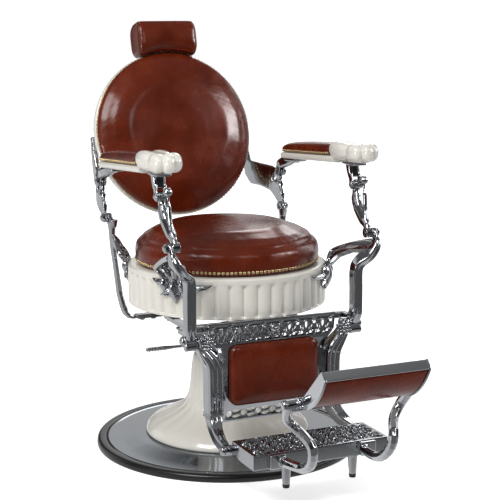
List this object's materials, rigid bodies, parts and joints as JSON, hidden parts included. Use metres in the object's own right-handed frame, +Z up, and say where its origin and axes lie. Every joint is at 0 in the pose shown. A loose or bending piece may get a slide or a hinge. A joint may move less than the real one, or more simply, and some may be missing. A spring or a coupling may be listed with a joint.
{
  "type": "hydraulic barber chair",
  "caption": "Barber chair with a round enamelled seat on a pump pedestal, round reclining back, headrest, paw-ended armrests, pierced legrest and flip-over footboard.",
  "frame": {"origin": "on the floor, on the pedestal's axis", "axes": "+Z up; -Y is the way the sitter faces; +X is the sitter's left"},
  "size_m": [0.74, 1.4085, 1.1785],
  "materials": {
    "chrome": "polished",
    "enamel": "gloss",
    "leather": "satin",
    "rubber": "satin",
    "steel": "satin",
    "wood": "matte"
  },
  "bodies": {
    "base": {"base_dish": "chrome", "base_plate": "steel", "base_ring": "rubber", "bell_collar": "chrome", "pedestal_bell": "enamel", "pump_cylinder": "steel"},
    "swivel": {"lever_pin": "steel", "pump_head": "steel"},
    "lever": {"pump_lever": "chrome"},
    "seat": {"front_bar": "chrome", "front_pivot_pin_left": "chrome", "front_pivot_pin_right": "chrome", "front_post_left": "chrome", "front_post_right": "chrome", "ram": "chrome", "ram_plate": "steel", "rear_pivot_pin_left": "chrome", "rear_pivot_pin_right": "chrome", "rear_post_left": "chrome", "rear_post_right": "chrome", "rear_strap": "chrome", "seat_cushion": "leather", "seat_pan": "wood", "seat_rail_left": "chrome", "seat_rail_right": "chrome", "seat_skirt": "enamel"},
    "back": {"arm_pivot_pin_left": "chrome", "arm_pivot_pin_right": "chrome", "back_bracket_left": "chrome", "back_bracket_right": "chrome", "back_cushion": "leather", "back_shell": "enamel", "headrest_socket": "chrome"},
    "headrest_slide": {"headrest_bar": "chrome"},
    "headrest": {"headrest_cushion": "leather", "headrest_mount": "chrome", "headrest_pin": "steel"},
    "legrest": {"calf_pad": "leather", "foot_arm_left": "chrome", "foot_arm_right": "chrome", "foot_platform": "chrome", "leg_tip_left": "rubber", "leg_tip_right": "rubber", "legrest_rail_left": "chrome", "legrest_rail_right": "chrome", "legrest_web": "chrome", "platform_tread": "chrome"},
    "footboard": {"footboard_pad": "leather", "footboard_tray": "chrome"},
    "link_left": {"front_link_left": "chrome"},
    "link_right": {"front_link_right": "chrome"},
    "arm_left": {"arm_body_left": "enamel", "arm_pad_left": "leather", "front_clevis_left": "chrome", "rear_clevis_left": "chrome"},
    "arm_right": {"arm_body_right": "enamel", "arm_pad_right": "leather", "front_clevis_right": "chrome", "rear_clevis_right": "chrome"}
  },
  "joints": [
    {"name": "swivel", "type": "hinge", "parent": "base", "child": "swivel", "pos_m": [0, 0, 0.2689], "axis": [0, 0, 1], "continuous": true},
    {"name": "pump_lever", "type": "hinge", "parent": "swivel", "child": "lever", "pos_m": [-0.078, 0, 0.2874], "axis": [0, -1, 0], "range_deg": [0, 14]},
    {"name": "seat_lift", "type": "slide", "parent": "swivel", "child": "seat", "axis": [0, 0, 1], "range_m": [0, 0.15]},
    {"name": "recline", "type": "hinge", "parent": "seat", "child": "back", "pos_m": [0, 0.219, 0.6272], "axis": [-1, 0, 0], "range_deg": [0, 40]},
    {"name": "link_left", "type": "hinge", "parent": "seat", "child": "link_left", "pos_m": [0.2747, -0.311, 0.6272], "axis": [-1, 0, 0], "range_deg": [0, 38]},
    {"name": "link_right", "type": "hinge", "parent": "seat", "child": "link_right", "pos_m": [-0.2747, -0.311, 0.6272], "axis": [-1, 0, 0], "range_deg": [0, 38]},
    {"name": "arm_left", "type": "hinge", "parent": "back", "child": "arm_left", "pos_m": [0.2803, 0.245, 0.7272], "axis": [-1, 0, 0], "range_deg": [-45, 0]},
    {"name": "arm_right", "type": "hinge", "parent": "back", "child": "arm_right", "pos_m": [-0.2803, 0.245, 0.7272], "axis": [-1, 0, 0], "range_deg": [-45, 0]},
    {"name": "headrest_height", "type": "slide", "parent": "back", "child": "headrest_slide", "axis": [0, 0.2588, 0.9659], "range_m": [0, 0.08]},
    {"name": "headrest_tilt", "type": "hinge", "parent": "headrest_slide", "child": "headrest", "pos_m": [0, 0.54085, 1.1094], "axis": [-1, 0, 0], "range_deg": [0, 25]},
    {"name": "legrest", "type": "hinge", "parent": "seat", "child": "legrest", "pos_m": [0, -0.302, 0.3827], "axis": [-1, 0, 0], "range_deg": [0, 55]},
    {"name": "footboard", "type": "hinge", "parent": "legrest", "child": "footboard", "pos_m": [0, -0.731, 0.3217], "axis": [-1, 0, 0], "range_deg": [0, 100]}
  ],
  "couplings": [
    {"joint": "link_left", "follows": "recline", "ratio": 0.9203},
    {"joint": "link_right", "follows": "recline", "ratio": 0.9203},
    {"joint": "arm_left", "follows": "recline", "ratio": -1.0941},
    {"joint": "arm_right", "follows": "recline", "ratio": -1.0941}
  ]
}
